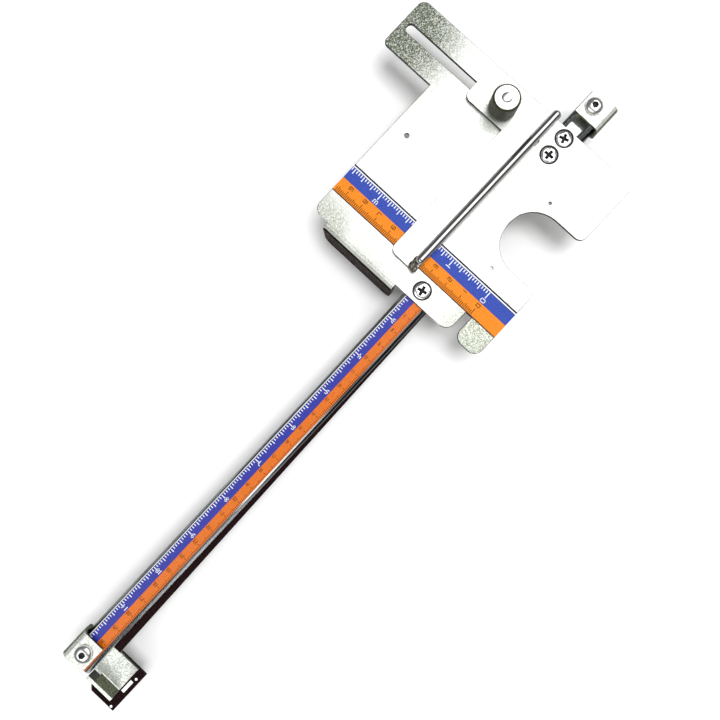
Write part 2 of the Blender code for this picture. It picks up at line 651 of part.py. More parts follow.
for pin, pin_x in {"left": foot_left + PIN_FROM_LEFT, "right": foot_right - PIN_FROM_RIGHT}.items():
    pin_hole = disc(PIN_DIAMETER / 2 + GAP, key_bottom - GAP, foot_top + GAP)
    cut(foot, helper("foot_pin_hole_" + pin, pin_hole, (pin_x, pin_y, 0)))
    pin_shape = disc(PIN_DIAMETER / 2, key_bottom, foot_top)
    object_of("foot_pin_" + pin, pin_shape, bright, (pin_x, pin_y, 0), stop_holder, smooth=True)
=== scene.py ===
import math
import random

import bmesh
import bpy
from mathutils import Matrix, Vector


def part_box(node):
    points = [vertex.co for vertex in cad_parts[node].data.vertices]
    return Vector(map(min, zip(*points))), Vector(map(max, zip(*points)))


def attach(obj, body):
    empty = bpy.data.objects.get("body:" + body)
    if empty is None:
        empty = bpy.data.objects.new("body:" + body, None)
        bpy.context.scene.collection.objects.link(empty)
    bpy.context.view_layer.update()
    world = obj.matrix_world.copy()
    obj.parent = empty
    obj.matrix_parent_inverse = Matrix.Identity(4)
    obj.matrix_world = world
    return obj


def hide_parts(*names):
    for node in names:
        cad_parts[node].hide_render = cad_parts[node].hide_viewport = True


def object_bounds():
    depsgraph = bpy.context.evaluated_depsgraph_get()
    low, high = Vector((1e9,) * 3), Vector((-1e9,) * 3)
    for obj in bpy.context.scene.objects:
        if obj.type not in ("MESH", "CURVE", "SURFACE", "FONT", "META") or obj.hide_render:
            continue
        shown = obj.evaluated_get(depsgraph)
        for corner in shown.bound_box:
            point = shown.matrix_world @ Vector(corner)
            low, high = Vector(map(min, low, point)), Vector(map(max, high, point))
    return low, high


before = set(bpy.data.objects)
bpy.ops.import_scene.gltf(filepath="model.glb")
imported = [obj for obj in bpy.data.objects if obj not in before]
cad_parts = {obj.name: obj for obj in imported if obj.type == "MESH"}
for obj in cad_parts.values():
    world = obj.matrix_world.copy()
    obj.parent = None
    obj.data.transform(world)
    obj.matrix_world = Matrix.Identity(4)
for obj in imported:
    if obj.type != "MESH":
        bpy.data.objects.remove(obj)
cad_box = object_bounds()


# The view. The gauge lies on a white table and is seen from a little under 400 mm above the rail, turned so
# that the long rail runs from the near left to the plate at the far right.
MM = 0.001
view = bpy.data.cameras.new("view")
SENSOR_MM = 36.0
LENS_MM = 34.97
EYE = (-113.6 * MM, -12.6 * MM, 371.5 * MM)
view.sensor_width = SENSOR_MM
view.lens = LENS_MM
camera = bpy.data.objects.new("camera", view)
bpy.context.scene.collection.objects.link(camera)
ROLL = Matrix.Rotation(math.radians(-47.04), 4, "Z")
TIP = Matrix.Rotation(math.radians(2.23), 4, "X")
LEAN = Matrix.Rotation(math.radians(0.45), 4, "Y")
camera.matrix_world = Matrix.Translation(EYE) @ ROLL @ TIP @ LEAN
bpy.context.scene.camera = camera
bpy.context.scene.view_settings.view_transform = "Standard"


# The table and the lights. The table is plain white board. A large soft panel hangs over the plate, past its
# right side, and another over the rail's free end. A higher key light isn't mirrored in the metal, so it only
# lights the table, the films and the rubber. The room around them is dim.
TABLE_HALF = 4.0
TABLE_GAP = 0.2 * MM
BOARD_WHITE = (0.86, 0.86, 0.86, 1)
BOARD_ROUGHNESS = 0.9
ROOM_GREY = (0.17, 0.17, 0.17, 1)
table_shape = bmesh.new()
bmesh.ops.create_grid(table_shape, x_segments=1, y_segments=1, size=TABLE_HALF)
bmesh.ops.translate(table_shape, vec=(0, 0, cad_box[0][2] - TABLE_GAP), verts=table_shape.verts)
table_mesh = bpy.data.meshes.new("table")
table_shape.to_mesh(table_mesh)
table_shape.free()
table = bpy.data.objects.new("table", table_mesh)
bpy.context.scene.collection.objects.link(table)
board = bpy.data.materials.new("white_board")
board.use_nodes = True
board.node_tree.nodes["Principled BSDF"].inputs["Base Color"].default_value = BOARD_WHITE
board.node_tree.nodes["Principled BSDF"].inputs["Roughness"].default_value = BOARD_ROUGHNESS
table_mesh.materials.append(board)


def panel(name, left, right, front, back, height, watts):
    """A soft panel light facing down, from its edges in metres."""
    light = bpy.data.lights.new(name, "AREA")
    light.shape = "RECTANGLE"
    light.size = right - left
    light.size_y = back - front
    light.energy = watts
    hung = bpy.data.objects.new(name, light)
    bpy.context.scene.collection.objects.link(hung)
    hung.location = ((left + right) / 2, (front + back) / 2, height)
    hung.visible_camera = False
    return hung


panel("plate_panel", left=-0.02, right=1.25, front=-0.62, back=0.345, height=1.0, watts=9.0)
panel("rail_panel", left=-1.9, right=-0.42, front=-0.9, back=0.7, height=1.1, watts=11.0)
key = panel("key_panel", left=-0.20, right=0.60, front=-0.60, back=0.20, height=2.0, watts=27.0)
key.visible_glossy = False
room = bpy.data.worlds.new("dim_room")
room.use_nodes = True
room.node_tree.nodes["Background"].inputs["Color"].default_value = ROOM_GREY
bpy.context.scene.world = room


# Base plate. One laser-cut sheet of zinc-plated steel, 2 mm thick, with the pipe notch, the sight slit and
# the slotted tab cut in it and its fence bent down at the left. Its cut edges are dark and rough.
ARRIS = 0.14 * MM
PLATE_ARRIS = 0.25 * MM
MERGE = 0.001 * MM
FLAT_AREA = 8 * MM * MM
SLIVER = 0.1 * MM
FENCE_SHEET = 6.0 * MM
SHARP = 28.0       # degrees between two faces that make an edge
SAME_FACE = 0.5    # degrees between two triangles of one flat face
TRUE = 0.9999      # share of a normal along an axis, for a face that squarely faces it
LEVEL = 0.9        # the same for a sheet's upper and lower faces, bends included
CROSSWAYS = 0.05   # the same along Y, for the faces and the bend of the fence


def worked_copy(node, arris=ARRIS, sharp=SHARP):
    """The piece's own solid, its loose triangles merged and its sharp edges broken by a small chamfer."""
    shape = bmesh.new()
    shape.from_mesh(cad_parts[node].data)
    bmesh.ops.remove_doubles(shape, verts=shape.verts, dist=MERGE)
    bmesh.ops.dissolve_limit(shape, angle_limit=math.radians(SAME_FACE), verts=shape.verts, edges=shape.edges)
    slivers = set()
    for face in shape.faces:
        longest = max(edge.calc_length() for edge in face.edges)
        if face.calc_area() < longest * SLIVER:
            slivers.add(face)
    tight = {vert for face in slivers for vert in face.verts}
    edges = []
    for edge in shape.edges:
        if edge.is_manifold and edge.calc_face_angle() > math.radians(sharp):
            if edge.calc_length() > 2 * arris and not tight.intersection(edge.verts):
                edges.append(edge)
    bmesh.ops.bevel(
        shape, geom=edges, offset=arris, offset_type="OFFSET", affect="EDGES", segments=1, profile=0.5,
        material=-1, clamp_overlap=False,
    )
    return shape


def mark_edges(shape):
    """Gives the cut edges of a sheet, the faces that don't lie level, the second finish."""
    shape.normal_update()
    for face in shape.faces:
        face.material_index = int(abs(face.normal.z) < LEVEL)


def made_piece(name, shape, *finishes, smooth=SHARP):
    """Turns a bmesh into an object at the origin, with smooth shading between its sharp edges."""
    mesh = bpy.data.meshes.new(name)
    shape.to_mesh(mesh)
    shape.free()
    for finish in finishes:
        mesh.materials.append(finish)
    mesh.shade_smooth()
    for face in mesh.polygons:
        level = abs(face.normal.z) > TRUE
        aligned = max(abs(part) for part in face.normal) > TRUE
        face.use_smooth = not (level or aligned and face.area > FLAT_AREA)
    mesh.set_sharp_from_angle(angle=math.radians(smooth))
    piece = bpy.data.objects.new(name, mesh)
    bpy.context.scene.collection.objects.link(piece)
    return piece


TONE_SPAN = (0.38, 0.62)     # the part of the noise over which the colour changes
GLOSS_SPAN = (0.35, 0.65)    # the part of the noise over which the roughness changes
GRAIN_DETAIL = 4.0


def grained(name, low, high, size, gloss, metallic, relief, stretch=(1, 1, 1), shine=0.5):
    """A finish whose colour, roughness and surface follow a fine grain. Size and relief are in metres."""
    finish = bpy.data.materials.new(name)
    finish.use_nodes = True
    nodes, links = finish.node_tree.nodes, finish.node_tree.links
    shader = nodes["Principled BSDF"]
    shader.inputs["Metallic"].default_value = metallic
    shader.inputs["Specular IOR Level"].default_value = shine
    place = nodes.new("ShaderNodeTexCoord")
    drawn = nodes.new("ShaderNodeMapping")
    drawn.inputs["Scale"].default_value = stretch
    grain = nodes.new("ShaderNodeTexNoise")
    grain.inputs["Scale"].default_value = 1 / size
    grain.inputs["Detail"].default_value = GRAIN_DETAIL
    tone = nodes.new("ShaderNodeValToRGB")
    tone.color_ramp.elements[0].position = TONE_SPAN[0]
    tone.color_ramp.elements[0].color = (*low, 1)
    tone.color_ramp.elements[1].position = TONE_SPAN[1]
    tone.color_ramp.elements[1].color = (*high, 1)
    rough = nodes.new("ShaderNodeMapRange")
    rough.inputs["From Min"].default_value = GLOSS_SPAN[0]
    rough.inputs["From Max"].default_value = GLOSS_SPAN[1]
    rough.inputs["To Min"].default_value = gloss[1]
    rough.inputs["To Max"].default_value = gloss[0]
    bump = nodes.new("ShaderNodeBump")
    bump.inputs["Strength"].default_value = 1.0
    bump.inputs["Distance"].default_value = relief
    links.new(place.outputs["Object"], drawn.inputs["Vector"])
    links.new(drawn.outputs["Vector"], grain.inputs["Vector"])
    links.new(grain.outputs["Fac"], tone.inputs["Fac"])
    links.new(grain.outputs["Fac"], rough.inputs["Value"])
    links.new(grain.outputs["Fac"], bump.inputs["Height"])
    links.new(tone.outputs["Color"], shader.inputs["Base Color"])
    links.new(rough.outputs["Result"], shader.inputs["Roughness"])
    links.new(bump.outputs["Normal"], shader.inputs["Normal"])
    return finish


FULL_REACH = 0.35            # share of a patch's reach that has its full strength
BLOTCH = 0.6 * MM
BLOTCH_DETAIL = 2.0
BLOTCH_MEAN = 0.48
MOTTLE = 2.2


def painted_light_patch(finish, colour, centre, reach, most, mottle=MOTTLE):
    """Paints light or shade into a finish around a point: a soft mottled patch of another colour, fading over
    the reach.
    """
    nodes, links = finish.node_tree.nodes, finish.node_tree.links
    shader = nodes["Principled BSDF"]
    bright = shader.inputs["Base Color"].links[0].from_socket
    place = nodes.new("ShaderNodeTexCoord")
    away = nodes.new("ShaderNodeVectorMath")
    away.operation = "DISTANCE"
    away.inputs[1].default_value = centre
    fade = nodes.new("ShaderNodeMapRange")
    fade.interpolation_type = "SMOOTHSTEP"
    fade.inputs["From Min"].default_value = reach * FULL_REACH
    fade.inputs["From Max"].default_value = reach
    fade.inputs["To Min"].default_value = most
    fade.inputs["To Max"].default_value = 0.0
    blotch = nodes.new("ShaderNodeTexNoise")
    blotch.inputs["Scale"].default_value = 1 / BLOTCH
    blotch.inputs["Detail"].default_value = BLOTCH_DETAIL
    patch = nodes.new("ShaderNodeMath")
    patch.operation = "MULTIPLY_ADD"
    patch.inputs[1].default_value = mottle
    patch.inputs[2].default_value = BLOTCH_MEAN - mottle / 2
    share = nodes.new("ShaderNodeMath")
    share.operation = "MULTIPLY"
    share.use_clamp = True
    mix = nodes.new("ShaderNodeMix")
    mix.data_type = "RGBA"
    mix.inputs["B"].default_value = (*colour, 1)
    links.new(place.outputs["Object"], away.inputs[0])
    links.new(place.outputs["Object"], blotch.inputs["Vector"])
    links.new(away.outputs["Value"], fade.inputs["Value"])
    links.new(blotch.outputs["Fac"], patch.inputs[0])
    links.new(fade.outputs["Result"], share.inputs[0])
    links.new(patch.outputs["Value"], share.inputs[1])
    links.new(share.outputs["Value"], mix.inputs["Factor"])
    links.new(bright, mix.inputs["A"])
    links.new(mix.outputs["Result"], shader.inputs["Base Color"])


zinc = grained("zinc_plate", (0.70, 0.72, 0.67), (0.90, 0.91, 0.88), 0.7 * MM, (0.28, 0.42), 0.6, 0.004 * MM)
cut_edge = grained(
    "cut_edge", (0.025, 0.026, 0.024), (0.09, 0.095, 0.085), 0.35 * MM, (0.5, 0.75), 0.6, 0.01 * MM,
)
# Painted shade: dark olive patches on the zinc at the tab's end, along the plate's left margin and on its
# front lobe, where the metal mirrors the dim room.
DARK_OLIVE = (0.085, 0.105, 0.06)
OLIVE = (0.20, 0.23, 0.14)
plate_low, plate_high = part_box("base_plate")
tab_end = (plate_high.x - 20 * MM, plate_high.y + 8 * MM, plate_high.z)
margin_back = (plate_low.x - 2 * MM, 64 * MM, plate_high.z)
margin_middle = (plate_low.x - 10 * MM, 30 * MM, plate_high.z)
front_lobe = (plate_low.x + 8 * MM, plate_low.y - 3 * MM, plate_high.z)
painted_light_patch(zinc, DARK_OLIVE, tab_end, reach=56 * MM, most=1.8)
painted_light_patch(zinc, OLIVE, margin_back, reach=24 * MM, most=1.0)
painted_light_patch(zinc, OLIVE, margin_middle, reach=26 * MM, most=0.7)
painted_light_patch(zinc, OLIVE, front_lobe, reach=42 * MM, most=1.25)
plate = worked_copy("base_plate", PLATE_ARRIS)
mark_edges(plate)
fence_front, fence_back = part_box("fence_pad")
for face in plate.faces:
    spot = face.calc_center_median()
    on_fence = spot.x < plate_low.x + FENCE_SHEET and fence_front.y < spot.y < fence_back.y
    if on_fence and abs(face.normal.y) < CROSSWAYS:
        face.material_index = 0
plate = made_piece("plate_sheet", plate, zinc, cut_edge)
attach(plate, "gauge")
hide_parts("base_plate")


# Fence facing. A strip of dark brown rubber, under 1 mm thick, glued to the outside of the drop fence and
# cut to its outline. Its face is dusty and faintly ribbed from the roller it was made on.
RUBBER_ARRIS = 0.25 * MM
rubber = grained(
    "dark_rubber", (0.004, 0.001, 0.001), (0.016, 0.004, 0.005), 0.5 * MM, (0.6, 0.9), 0.0, 0.03 * MM,
    shine=0.12,
)
facing_finish = grained(
    "ribbed_rubber", (0.003, 0.0015, 0.001), (0.030, 0.016, 0.011), 0.5 * MM, (0.5, 0.8), 0.0, 0.03 * MM,
    stretch=(1, 1, 0.12), shine=0.05,
)
facing = made_piece("fence_facing", worked_copy("fence_pad", RUBBER_ARRIS), facing_finish)
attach(facing, "gauge")
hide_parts("fence_pad")


# Rail. A channel rolled from bright steel strip, open side down, with rounded upper edges. Rolling leaves
# fine streaks along its length. Its bends are painted with shade, near black at the front and grey at the
# back, with a painted highlight on the front bend towards the free end; painted shade also darkens the top
# towards the plate and the back bend towards the tail.
ROLLED = {"size": 0.5 * MM, "metallic": 1.0, "relief": 0.003 * MM, "stretch": (0.03, 1, 1)}
BEND_GLOSS = (0.14, 0.28)
RAIL_TOP_SKIN = 0.06 * MM
FRONT_FACING = 0.1
RAIL_SHARP = 35.0
rail_finish = grained("rolled_steel", (0.50, 0.53, 0.56), (0.86, 0.88, 0.90), gloss=(0.10, 0.22), **ROLLED)
low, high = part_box("rail")
# Painted shade: the front bend's colour is near black, for the dim room it mirrors, and a painted highlight
# brightens it towards the free end.
front_bend_light = grained("painted_light_front_bend", (0.012, 0.012, 0.012), (0.05, 0.052, 0.055), gloss=BEND_GLOSS, **ROLLED)
free_end = (low.x - 20 * MM, low.y, high.z)
painted_light_patch(front_bend_light, (0.80, 0.83, 0.87), free_end, reach=190 * MM, most=2.4, mottle=0.0)
# Painted shade on the rail's top, darkening it towards the plate.
under_plate = (-70 * MM, low.y, high.z)
painted_light_patch(rail_finish, (0.05, 0.05, 0.055), under_plate, reach=130 * MM, most=1.9, mottle=0.0)
# Painted shade: the back bend's colour is grey, darkening to near black towards the tail.
back_bend_shade = grained("painted_shade_back_bend", (0.16, 0.17, 0.18), (0.40, 0.42, 0.44), gloss=BEND_GLOSS, **ROLLED)
tail_end = (high.x, high.y, high.z)
painted_light_patch(back_bend_shade, (0.015, 0.015, 0.016), tail_end, reach=70 * MM, most=2.4, mottle=0.0)
rail = bmesh.new()
rail.from_mesh(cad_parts["rail"].data)
bmesh.ops.remove_doubles(rail, verts=rail.verts, dist=MERGE)
rail.normal_update()
# The faces below the top take the painted shade of the bends: front ones the first bend colour, back ones the
# second.
for face in rail.faces:
    if face.calc_center_median().z < high.z - RAIL_TOP_SKIN:
        face.material_index = 1 if face.normal.y < FRONT_FACING else 2
rail = made_piece("rail_channel", rail, rail_finish, front_bend_light, back_bend_shade, smooth=RAIL_SHARP)
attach(rail, "gauge")
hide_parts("rail")


# Sole. A strip of the same dark rubber under the rail, its front lip wide at the end stop and narrowing to
# nothing at the plate, so that the rail neither slips nor scratches the work.
sole = made_piece("sole_strip", worked_copy("rail_sole", RUBBER_ARRIS), rubber)
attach(sole, "gauge")
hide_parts("rail_sole")


# Rail scale. A printed film stuck on the rail: a blue half towards the tab with white sixteenths of an inch
# and an orange half with brown millimetres, both counted from the notch. A white line edges the blue half.
FILM_GRAIN = 0.35 * MM
FILM = {"size": FILM_GRAIN, "gloss": (0.35, 0.5), "metallic": 0.0, "relief": 0.004 * MM, "shine": 0.12}
RAIL_FILM = {**FILM, "shine": 0.45}
blue = grained("rail_blue_film", (0.014, 0.020, 0.24), (0.026, 0.034, 0.31), **RAIL_FILM)
orange = grained("rail_orange_film", (0.50, 0.105, 0.003), (0.68, 0.155, 0.006), **RAIL_FILM)
white_ink = grained("white_ink", (0.66, 0.68, 0.74), (0.80, 0.82, 0.86), **FILM)
brown_ink = grained("brown_ink", (0.020, 0.005, 0.002), (0.05, 0.012, 0.003), **FILM)
navy_ink = grained("navy_ink", (0.006, 0.007, 0.020), (0.020, 0.022, 0.05), **FILM)
INK = 0.02 * MM
INCH = 25.4 * MM
SIXTEENTH = INCH / 16
FILM_ARRIS = 0.06 * MM
FILM_CORNER = 1.0            # radians between two faces at an outer edge of a film


def bar(shape, left, right, front, back, low, high, finish=0):
    """Adds a thin upright box between these six faces."""
    made = bmesh.ops.create_cube(shape, size=1.0)
    bmesh.ops.scale(shape, vec=(right - left, back - front, high - low), verts=made["verts"])
    middle = ((left + right) / 2, (front + back) / 2, (low + high) / 2)
    bmesh.ops.translate(shape, vec=middle, verts=made["verts"])
    for face in {face for vert in made["verts"] for face in vert.link_faces}:
        face.material_index = finish


def soften_film(shape):
    """Breaks the outer edges of a film a little."""
    edges = [edge for edge in shape.edges if edge.calc_face_angle() > FILM_CORNER]
    bmesh.ops.bevel(
        shape, geom=edges, offset=FILM_ARRIS, offset_type="OFFSET", affect="EDGES", segments=1, profile=0.5,
        material=-1,
    )


# The strokes of each figure, 1 where there is one: top, upper right, lower right, bottom, lower left, upper
# left and middle. A figure whose last strokes are missing has a shorter row.
STROKES = {
    "0": "111111", "1": "011", "2": "1101101", "3": "1111001", "4": "0110011",
    "5": "1011011", "6": "1011111", "7": "111", "8": "1111111", "9": "1111011",
}
FIGURE_PITCH = 1.35          # from one figure to the next, in figure widths


def numeral(shape, text, centre, wide, tall, low, stroke, turned=False):
    """Adds square printed figures, centred on a point; turned, they read along +Y instead of +X."""
    pitch = wide * FIGURE_PITCH
    for place, figure in enumerate(text):
        across = (place - (len(text) - 1) / 2) * pitch
        side = wide / 2
        rise = tall / 2
        spans = (
            (-side, side, rise - stroke, rise),
            (side - stroke, side, 0, rise),
            (side - stroke, side, -rise, 0),
            (-side, side, -rise, stroke - rise),
            (-side, stroke - side, -rise, 0),
            (-side, stroke - side, 0, rise),
            (-side, side, -stroke / 2, stroke / 2),
        )
        for drawn, (left, right, front, back) in zip(STROKES[figure], spans):
            if drawn == "0":
                continue
            left += across
            right += across
            if turned:
                left, right, front, back = -back, -front, left, right
            x, y = centre
            bar(shape, x + left, x + right, y + front, y + back, low, low + 2 * INK)


def tick_length(count, whole, part, lengths):
    """The length of a tick: the first for every whole unit, the second for every part, else the third."""
    if count % whole == 0:
        return lengths[0]
    if count % part == 0:
        return lengths[1]
    return lengths[2]


RAIL_ZERO = -2.1 * MM
EDGE_LINE = 0.4 * MM
DARK_LINE = 0.35 * MM
END_MARGIN = 0.5 * MM
RAIL_SIXTEENTHS = 16 * 13
RAIL_INCH_TICKS = (2.9 * MM, 2.3 * MM, 1.55 * MM)
RAIL_INCH_TICK_HALF = 0.24 * MM
RAIL_INCH_TICK_INSET = 0.25 * MM
RAIL_INCH_FIGURES = {"wide": 1.5 * MM, "tall": 2.6 * MM, "stroke": 0.42 * MM}
RAIL_INCH_FIGURE_LINE = 1.4 * MM
RAIL_MILLIMETRES = 330
RAIL_MM_TICKS = (2.4 * MM, 1.9 * MM, 1.3 * MM)
RAIL_MM_TICK_HALF = 0.13 * MM
RAIL_MM_TICK_INSET = 0.15 * MM
RAIL_MM_FIGURES = {"wide": 0.9 * MM, "tall": 1.9 * MM, "stroke": 0.22 * MM}
RAIL_MM_FIGURE_LINE = 1.6 * MM
low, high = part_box("rail_scale")
film = bmesh.new()
middle = (low.y + high.y) / 2
bar(film, low.x, high.x, middle, high.y - EDGE_LINE, low.z, high.z, 0)
bar(film, low.x, high.x, low.y, middle, low.z, high.z, 1)
bar(film, low.x, high.x, high.y - EDGE_LINE, high.y, low.z, high.z, 2)
soften_film(film)
film = made_piece("rail_film", film, blue, orange, white_ink)
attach(film, "gauge")
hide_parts("rail_scale")

marks = bmesh.new()
top = high.z - INK
blue_edge = high.y - EDGE_LINE
bar(marks, low.x, high.x, blue_edge - DARK_LINE, blue_edge, top, high.z + INK / 2, 1)
for count in range(1, RAIL_SIXTEENTHS):
    place = RAIL_ZERO - count * SIXTEENTH
    if not low.x + END_MARGIN < place < high.x - END_MARGIN:
        continue
    reach = tick_length(count, 16, 4, RAIL_INCH_TICKS)
    half = RAIL_INCH_TICK_HALF
    tick_back = blue_edge - RAIL_INCH_TICK_INSET
    bar(marks, place - half, place + half, blue_edge - reach, tick_back, top, high.z + INK)
    if count % 16 == 0:
        spot = (place, middle + RAIL_INCH_FIGURE_LINE)
        numeral(marks, str(count // 16), spot, low=top, turned=True, **RAIL_INCH_FIGURES)
inch_marks = made_piece("rail_inch_marks", marks, white_ink, navy_ink)
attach(inch_marks, "gauge")

marks = bmesh.new()
for count in range(1, RAIL_MILLIMETRES):
    place = RAIL_ZERO - count * MM
    if not low.x + END_MARGIN < place < high.x - END_MARGIN:
        continue
    reach = tick_length(count, 10, 5, RAIL_MM_TICKS)
    half = RAIL_MM_TICK_HALF
    bar(marks, place - half, place + half, low.y + RAIL_MM_TICK_INSET, low.y + reach, top, high.z + INK)
    if count % 10 == 0:
        spot = (place, middle - RAIL_MM_FIGURE_LINE)
        numeral(marks, str(count // 10), spot, low=top, turned=True, **RAIL_MM_FIGURES)
mm_marks = made_piece("rail_mm_marks", marks, brown_ink)
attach(mm_marks, "gauge")


# Plate scale. The same printed film across the plate, counted from the notch's centre towards the tab:
# orange millimetres at its left, blue sixteenths at its right, and a white and a black line at its edge.
NOTCH_Y = -26.5 * MM
WHITE_LINE = 0.7 * MM
BLACK_LINE = 0.9 * MM
LEFT_LINE = 0.5 * MM
ORANGE_SHARE = 0.485
BACK_MARGIN = 0.6 * MM
PLATE_SIXTEENTHS = 16 * 4
PLATE_INCH_TICKS = (4.4 * MM, 3.3 * MM, 1.9 * MM)
PLATE_INCH_TICK_HALF = 0.25 * MM
PLATE_INCH_TICK_INSET = 0.25 * MM
PLATE_INCH_FIGURES = {"wide": 2.2 * MM, "tall": 2.9 * MM, "stroke": 0.42 * MM}
PLATE_INCH_FIGURE_LINE = 6.0 * MM
PLATE_MILLIMETRES = 100
PLATE_MM_TICKS = (4.6 * MM, 3.7 * MM, 2.9 * MM)
PLATE_MM_TICK_HALF = 0.18 * MM
PLATE_MM_TICK_INSET = 0.7 * MM
PLATE_MM_FIGURES = {"wide": 1.9 * MM, "tall": 2.5 * MM, "stroke": 0.36 * MM}
PLATE_MM_FIGURE_LINE = 1.9 * MM
blue = grained("plate_blue_film", (0.026, 0.052, 0.28), (0.045, 0.080, 0.40), **FILM)
orange = grained("plate_orange_film", (0.62, 0.17, 0.010), (0.80, 0.25, 0.022), **FILM)
low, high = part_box("plate_scale")
right = high.x - BLACK_LINE - WHITE_LINE
middle = low.x + (high.x - low.x) * ORANGE_SHARE
film = bmesh.new()
bar(film, low.x, low.x + LEFT_LINE, low.y, high.y, low.z, high.z, 3)
bar(film, low.x + LEFT_LINE, middle, low.y, high.y, low.z, high.z, 1)
bar(film, middle, right, low.y, high.y, low.z, high.z, 0)
bar(film, right, right + WHITE_LINE, low.y, high.y, low.z, high.z, 2)
bar(film, right + WHITE_LINE, high.x, low.y, high.y, low.z, high.z, 3)
soften_film(film)
film = made_piece("plate_film", film, blue, orange, white_ink, navy_ink)
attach(film, "gauge")
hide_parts("plate_scale")

marks = bmesh.new()
top = high.z - INK
for count in range(PLATE_SIXTEENTHS):
    place = NOTCH_Y + count * SIXTEENTH
    if place > high.y - BACK_MARGIN:
        break
    reach = tick_length(count, 16, 4, PLATE_INCH_TICKS)
    half = PLATE_INCH_TICK_HALF
    bar(marks, right - reach, right - PLATE_INCH_TICK_INSET, place - half, place + half, top, high.z + INK)
    if count % 16 == 0:
        spot = (right - PLATE_INCH_FIGURE_LINE, place)
        numeral(marks, str(count // 16), spot, low=top, **PLATE_INCH_FIGURES)
bar(marks, right - PLATE_INCH_TICK_INSET, right, low.y, high.y, top, high.z + INK / 2, 1)
inch_marks = made_piece("plate_inch_marks", marks, white_ink, navy_ink)
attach(inch_marks, "gauge")

marks = bmesh.new()
for count in range(PLATE_MILLIMETRES):
    place = NOTCH_Y + count * MM
    if place > high.y - BACK_MARGIN:
        break
    reach = tick_length(count, 10, 5, PLATE_MM_TICKS)
    half = PLATE_MM_TICK_HALF
    bar(marks, low.x + PLATE_MM_TICK_INSET, low.x + reach, place - half, place + half, top, high.z + INK)
    if count % 10 == 0:
        spot = (middle - PLATE_MM_FIGURE_LINE, place)
        numeral(marks, str(count // 10), spot, low=top, **PLATE_MM_FIGURES)
mm_marks = made_piece("plate_mm_marks", marks, brown_ink)
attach(mm_marks, "gauge")


# Rail screws and nuts. Three cross-recessed countersunk screws of nickel-plated steel hold the plate on the
# rail, each turned as it stopped, and pull against square nuts that sit inside the channel.
nickel = grained(
    "nickel_plate", (0.78, 0.79, 0.79), (0.93, 0.93, 0.92), 0.6 * MM, (0.16, 0.28), 1.0, 0.002 * MM,
)
# Painted shade: a near-black colour for the screws' recesses, countersinks and sockets.
recess = grained(
    "painted_recess_shade", (0.006, 0.006, 0.006), (0.03, 0.03, 0.03), 0.3 * MM, (0.5, 0.7), 0.3, 0.005 * MM,
)
STOPPED_AT = {"left": 12.0, "mid": 2.0, "right": 17.0}
SCREW_ARRIS = 0.3 * MM
NUT_ARRIS = 0.15 * MM
HEAD_LEVEL = 0.95
HEAD_SKIN = 0.4 * MM
for name, turn in STOPPED_AT.items():
    low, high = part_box("rail_screw_" + name)
    centre = (low + high) / 2
    screw = worked_copy("rail_screw_" + name, SCREW_ARRIS)
    swung = Matrix.Rotation(math.radians(turn), 3, "Z")
    bmesh.ops.rotate(screw, cent=centre, matrix=swung, verts=screw.verts)
    screw.normal_update()
    # Faces below the head's top, or not lying level, take the painted shade.
    for face in screw.faces:
        sunk = face.calc_center_median().z < high.z - HEAD_SKIN
        face.material_index = int(sunk or face.normal.z < HEAD_LEVEL)
    screw = made_piece(f"plate_screw_{name}", screw, nickel, recess)
    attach(screw, "gauge")
    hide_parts("rail_screw_" + name)
    nut = made_piece(f"square_nut_{name}", worked_copy("rail_nut_" + name, NUT_ARRIS), zinc)
    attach(nut, "gauge")
    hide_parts("rail_nut_" + name)


# Slider. A bar of the same zinc-plated sheet, 1.5 mm thick, with a tab at its right end that the clamp holds
# down on the plate. It lies across both the plate and its scale.
slider = worked_copy("fence_slider")
mark_edges(slider)
slider = made_piece("slider_sheet", slider, zinc, cut_edge)
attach(slider, "slider")
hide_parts("fence_slider")


# Rod. A round bar of ground dark steel with rounded ends, brazed along the slider's front edge as the
# straight edge that the work is pushed against. Three beads of brazing metal lie at its left end.
rod_steel = grained(
    "ground_dark_steel", (0.42, 0.42, 0.42), (0.54, 0.54, 0.54), 0.5 * MM, (0.04, 0.08), 1.0, 0.0005 * MM,
    stretch=(0.05, 1, 1),
)
ROD_SIDES = 48
DOME_STEPS = 8
low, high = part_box("fence_rod")
radius = (high.z - low.z) / 2
axis = Vector((0, (low.y + high.y) / 2, (low.z + high.z) / 2))
rod = bmesh.new()
outline = [Vector((low.x, 0, 0))]
for end, side in ((low.x + radius, -1), (high.x - radius, 1)):
    angles = [math.pi / 2 * step / DOME_STEPS for step in range(DOME_STEPS)]
    dome = [Vector((end + side * radius * math.sin(angle), 0, radius * math.cos(angle))) for angle in angles]
    outline += dome[::-1] if side < 0 else dome
outline.append(Vector((high.x, 0, 0)))
points = [rod.verts.new(point) for point in outline]
lines = [rod.edges.new(pair) for pair in zip(points, points[1:])]
bmesh.ops.spin(
    rod, geom=points + lines, cent=(0, 0, 0), axis=(1, 0, 0), angle=math.tau, steps=ROD_SIDES, use_merge=True,
)
bmesh.ops.remove_doubles(rod, verts=rod.verts, dist=MERGE)
bmesh.ops.recalc_face_normals(rod, faces=rod.faces)
bmesh.ops.translate(rod, vec=axis, verts=rod.verts)
rod = made_piece("straight_edge_rod", rod, rod_steel)
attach(rod, "slider")
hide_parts("fence_rod")

braze = grained(
    "brazing_metal", (0.06, 0.055, 0.045), (0.34, 0.33, 0.27), 0.8 * MM, (0.25, 0.6), 0.9, 0.12 * MM,
)
wander = random.Random(4)
slider_low, slider_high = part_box("fence_slider")
beads = bmesh.new()
